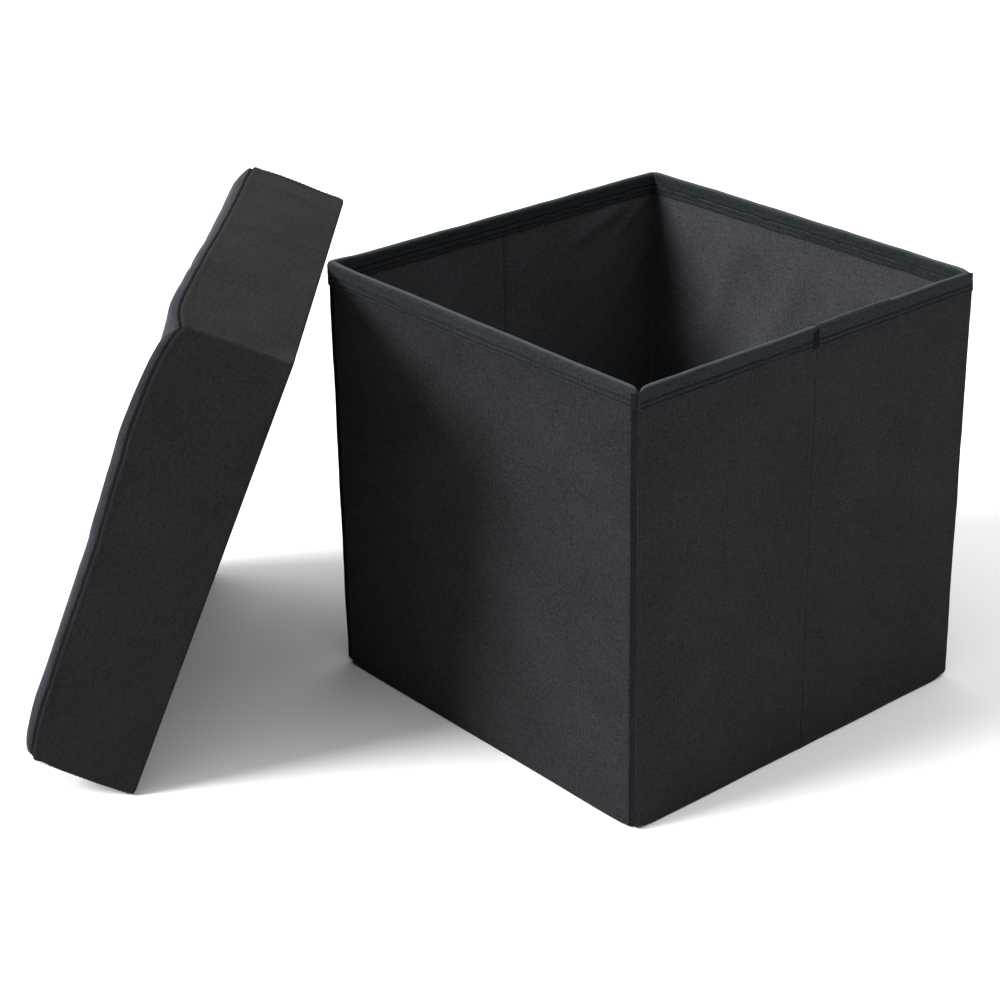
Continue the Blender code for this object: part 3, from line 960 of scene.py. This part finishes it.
def top_seam(place):
    """Height of the seam between the lid's sides and its padded top."""
    along = np.mod(place, 1.0)
    pull = (1 - np.exp(-along / 0.055)) * (1 - np.exp(-(1 - along) / 0.055))
    wander = 0.0003 * soft_field(place * lid_side, 0 * place, 0.04, 0.14, 61)
    return lid_deep + np.interp(np.mod(place, 4.0), SEAM_RISE_AT, SEAM_RISE) * pull + wander * pull


def from_lid_corner(place, marks=CORNERS[:4]):
    return from_nearest(place, marks) / side * lid_side


def side_relief(place, height):
    """How far a lid side stands off its flat, outwards."""
    u = np.mod(place, 4.0) * lid_side
    free = ramp(height, 0.0, 0.012)
    relief = 0.00045 * free * soft_field(u, height, 0.04, 0.14, 62)
    relief += 0.00009 * soft_field(u, height, 0.012, 0.03, 63) * free
    mid = np.clip(height / lid_deep, 0, 1)
    relief += 0.0008 * np.sin(math.pi * mid) * ramp(np.abs(from_lid_corner(place)), 0, 0.05)
    relief -= 0.0005 * bump_at(from_lid_corner(place), 0.0009) * free
    relief += 0.0002 * bump_at(np.abs(from_lid_corner(place)) - 0.0035, 0.0022) * free
    flare = 0.0046 * bump_at(from_lid_corner(place, (1.0,)), 0.014)
    return relief + flare * np.exp(-np.clip(height, 0, None) / 0.010)


def rim_lift(place, height):
    """How far the rim has risen at the corners, where the hem rounds them off."""
    short = np.clip(LID_RIM_CORNER - np.abs(from_lid_corner(place, (0.0, 2.0, 3.0))), 0, None)
    lift = LID_RIM_CORNER - np.sqrt(LID_RIM_CORNER ** 2 - np.minimum(short, 0.999 * LID_RIM_CORNER) ** 2)
    return lift * np.exp(-np.clip(height, 0, None) / 0.012)


def side_profile():
    """Stand-off and share of the seam's height for each line of a lid side, hem to top seam."""
    inner = -wall_thick - 0.0002
    rows = [(inner, HEM_UP), (inner - 0.0001, 0.009), (inner, 0.005)]
    for centre, start, end in ((inner + LID_RIM_ROUND, 180, 270), (-LID_RIM_ROUND, 270, 360)):
        for angle in np.radians(np.linspace(start, end, 6)):
            rows.append((centre + LID_RIM_ROUND * math.cos(angle),
                         LID_RIM_ROUND * (1 + math.sin(angle))))
    rows += [(0.0, z) for z in np.arange(0.004, lid_deep - 0.006, LID_STEP)]
    return rows


def add_lid_side(index):
    name = LID_SIDES[index]
    places = spread_places(
        float(index), index + 1.0, LID_STEP * side / lid_side, CORNERS, 0.0005, 0.006)
    rows = np.array(side_profile())
    place, stand_off = np.meshgrid(places, rows[:, 0])
    height = np.meshgrid(places, rows[:, 1])[1]
    outer = ramp(stand_off, -wall_thick, -0.0005)
    seam = top_seam(place)
    stretch = 1 + ramp(height, 0.03, lid_deep) * (seam - lid_deep) / lid_deep
    relief = side_relief(place, height) * outer
    height = height * stretch + rim_lift(place, height)
    edge = top_seam(places)
    roll = [(0.0002, -0.0052), (0.0004, -0.0034), (0.0003, -0.0020), (-0.0004, -0.0009),
            (-0.0014, -0.0003), (-GROOVE, -0.0001)]
    for across, down in roll:
        row_relief = side_relief(places, edge + down) * min(1.0, 1 + across / 0.002)
        stand_off = np.vstack([stand_off, across + 0 * places])
        height = np.vstack([height, edge + down])
        relief = np.vstack([relief, row_relief])
    place = np.tile(places, (len(height), 1))
    total = stand_off + relief
    edge_radius = LID_EDGE + 0.003 * ramp(height, lid_deep - 0.03, lid_deep)
    xy, _ = rounded_square(place, lid_half + total, np.maximum(edge_radius + stand_off, 0.0006))
    points = np.concatenate([xy, height[..., None]], -1)
    steps = np.linalg.norm(np.diff(points[:, len(places) // 2], axis=0), axis=1)
    up = np.concatenate([[0], np.cumsum(steps)])
    uv = np.stack([place * lid_side, np.tile(up[:, None], (1, len(places)))], -1)
    # The side that faces up takes the copy with painted light, the others the copy with painted shade.
    panel = grid_piece("lid_side_" + name, points, uv, lid_fabric_painted_light if name == "right" else lid_fabric_painted_shade)
    panel.data.transform(lid_placed)
    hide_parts(f"lid_{name}_skirt_cover")
    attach(panel, "lid")


def add_corner_stitches():
    """A row of stitches down each corner of the lid, on one side of the seam."""
    centres, tangents, normals = [], [], []
    for corner in CORNERS[:4]:
        for height in np.arange(0.006, lid_deep - 0.006, STITCH_PITCH):
            place = np.array([corner - 0.0024 / lid_side])
            reach = lid_half + side_relief(place, np.array([height]))
            xy, normal = rounded_square(place, reach, LID_EDGE)
            centres.append((*xy[0], height))
            tangents.append((0.0, 0.0, 1.0))
            normals.append((*normal[0], 0.0))
    sewn = stitches(
        "lid_corner_stitching", np.array(centres), np.array(tangents), np.array(normals))
    sewn.data.transform(lid_placed)
    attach(sewn, "lid")


for index in range(4):
    add_lid_side(index)
add_corner_stitches()
for name in LID_SIDES:
    add_board(f"lid_{name}_skirt_board", "lid", lid_placed, 0.006, 0.004)
add_board("lid_board", "lid", lid_placed, 0.001, 0.001)

# ---- Piping -------------------------------------------------------------------------------------
# A thin cord wrapped in a bias strip of the cover cloth, caught in the lid's top seam. It sits deep,
# so that only its line shows between the sides and the top; its near-black colour is painted shade.
PIPING_THICK = 0.0010
PIPING_DEEP = 0.0024

# Painted shade: almost black, darker than the cover cloth it is cut from, so that it reads as a dark line.
piping_fabric_painted_shade = woven("piping_polyester_painted_shade", "#070708", "#131416", 0.8, 0.95, 0.02)


def add_piping():
    places = round_places(0.004, 0.0008)
    xy, normal = rounded_square(places, lid_half - PIPING_DEEP + 0 * places, 0.006)
    height = top_seam(places) + 0.0002
    angle = np.arange(9) * 2 * math.pi / 8
    reach = PIPING_THICK * np.cos(angle)[:, None, None] * normal[None]
    level = height[None] + PIPING_THICK * np.sin(angle)[:, None]
    points = np.concatenate([xy[None] + reach, level[..., None]], -1)
    points = np.concatenate([points, points[:, :1]], 1)
    run = np.append(places, 4.0) * lid_side
    girth = angle * PIPING_THICK
    uv = np.stack(np.meshgrid(run, girth), -1)
    uv = np.stack([uv[..., 0] + uv[..., 1], uv[..., 0] - uv[..., 1]], -1)
    piping = grid_piece("lid_piping_cord", points, uv, piping_fabric_painted_shade, flip=True)
    piping.data.transform(lid_placed)
    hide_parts("lid_piping")
    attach(piping, "lid")


add_piping()

# ---- Padded top ---------------------------------------------------------------------------------
# A slab of foam under the cover cloth. The cloth bulges over the foam's edge between the seams, and
# air and wear have left it slightly uneven.
PAD_EDGE = 0.0060           # how far the foam rises past the seam
PAD_ROUND = 0.0080
PAD_CORNER = 0.011
PAD_DOME = 0.0022
PAD_MOVE = 0.0014           # the most that the cloth may shift as it settles
SETTLE_FRAMES = 18

# Painted light: paler than the sides, for the bright edge where light grazes the crown; its sheen is raised
# as well.
pad_fabric_painted_light = woven("pad_polyester_painted_light", "#141416", "#303036", THREAD_MM, 0.9, 0.35)


def pad_rings(places):
    seam = top_seam(places)
    level = float(seam.mean())
    rings = [(lid_half - GROOVE, PAD_CORNER - 0.002, seam + 0.0001),
             (lid_half - GROOVE + 0.0012, PAD_CORNER - 0.001, seam + 0.0005)]
    for angle in np.radians(np.linspace(0, 90, 9)):
        reach = lid_half - 0.0006 - PAD_ROUND * (1 - math.cos(angle))
        rings.append((reach, PAD_CORNER, seam + 0.0012 + PAD_EDGE * math.sin(angle)))
    for inset in np.concatenate([[0.0115, 0.015, 0.020], np.arange(0.0265, lid_half - 0.006, 0.0085)]):
        share = 1 - inset / lid_half
        dome = PAD_DOME * (1 - share ** 4)
        near_seam = math.exp(-(inset - PAD_ROUND) / 0.03)
        rings.append((lid_half - inset, PAD_CORNER,
                      level + (seam - level) * near_seam + 0.0012 + PAD_EDGE + dome))
    return rings, level + 0.0012 + PAD_EDGE + PAD_DOME


def pad_unevenness(points):
    """Soft hollows in the foam, and short gathers where the cloth meets the seam."""
    x, y, z = points.T
    reach = lid_half - np.maximum(np.abs(x), np.abs(y))
    soft = 0.0009 * soft_field(x, y, 0.09, 0.25, 71) + 0.0002 * soft_field(x, y, 0.03, 0.07, 72)
    along = np.where(np.abs(x) > np.abs(y), y, x)
    gathers = 0.0002 * soft_field(along, 0 * along, 0.015, 0.04, 73) * np.exp(-np.abs(reach - 0.004) / 0.012)
    return (soft + gathers) * ramp(reach, 0.0022, 0.010)


def settle(pad, pinned):
    """Cloth simulation: the cover is blown up a little by the foam and held along its seam."""
    group = pad.vertex_groups.new(name="seam")
    group.add(pinned, 1.0, "REPLACE")
    cloth = pad.modifiers.new("settle", "CLOTH")
    settings = cloth.settings
    settings.quality = 6
    settings.mass = 0.25
    settings.tension_stiffness = 18
    settings.compression_stiffness = 12
    settings.shear_stiffness = 6
    settings.bending_stiffness = 0.6
    settings.shrink_min = -0.006
    settings.use_pressure = True
    settings.uniform_pressure_force = 2.0
    settings.vertex_group_mass = "seam"
    settings.effector_weights.gravity = 0.0
    cloth.point_cache.frame_start = 1
    cloth.point_cache.frame_end = SETTLE_FRAMES
    scene = bpy.context.scene
    for number in range(1, SETTLE_FRAMES + 1):
        scene.frame_set(number)
    settled = pad.evaluated_get(bpy.context.evaluated_depsgraph_get()).to_mesh()
    after = np.array([v.co for v in settled.vertices])
    pad.modifiers.remove(cloth)
    scene.frame_set(1)
    before = np.array([v.co for v in pad.data.vertices])
    move = after - before
    length = np.linalg.norm(move, axis=1, keepdims=True)
    move *= np.minimum(1.0, PAD_MOVE / np.maximum(length, 1e-9))
    pad.data.vertices.foreach_set("co", (before + move).astype(np.float32).ravel())


def add_pad():
    places = round_places(0.0055, 0.0014)
    rings, top = pad_rings(places)
    pad = ring_sheet("lid_padded_top", rings, places, pad_fabric_painted_light, hub_last=top)
    settle(pad, list(range(len(places))))
    points = np.array([v.co for v in pad.data.vertices])
    points[:, 2] += pad_unevenness(points)
    pad.data.vertices.foreach_set("co", points.astype(np.float32).ravel())
    pad.data.transform(lid_placed)
    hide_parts("lid_top_cover", "lid_foam_pad")
    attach(pad, "lid")


add_pad()

# ---- Lid lining ---------------------------------------------------------------------------------
# The same non-woven as the box's lining, sewn into the sides' hems and glued under the lid board.


def add_lid_lining():
    places = np.append(round_places(0.006, 0.001), 4.0)
    heights = np.append(np.arange(HEM_UP - 0.004, cavity, 0.006), cavity)
    place, height = np.meshgrid(places, heights)
    stand_off = 0.0005 * soft_field(place * lid_side, height, 0.03, 0.09, 81) - wall_thick + 0.0003
    xy, _ = rounded_square(place, lid_half + np.minimum(stand_off, 0.0006 - wall_thick), 0.0012)
    points = np.concatenate([xy, height[..., None]], -1)
    uv = np.stack([place * lid_side, height], -1)
    lining = grid_piece("lid_side_lining", points, uv, lining_cloth, flip=True)
    lining.data.transform(lid_placed)
    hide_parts(*[f"lid_{name}_skirt_lining" for name in LID_SIDES])
    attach(lining, "lid")


def add_lid_underside():
    across = np.linspace(-1, 1, 70) * (lid_half - wall_thick + 0.0008)
    x, y = np.meshgrid(across, across)
    rim = lid_half - np.maximum(np.abs(x), np.abs(y))
    slack = 0.0012 * soft_field(x, y, 0.05, 0.17, 82) * ramp(rim, 0.006, 0.06)
    points = np.stack([x, y, cavity + 0.0001 - np.abs(slack)], -1)
    under = grid_piece("lid_underside_lining", points, np.stack([x, y], -1), lining_cloth, flip=True)
    under.data.transform(lid_placed)
    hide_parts("lid_lining")
    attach(under, "lid")


add_lid_lining()
add_lid_underside()
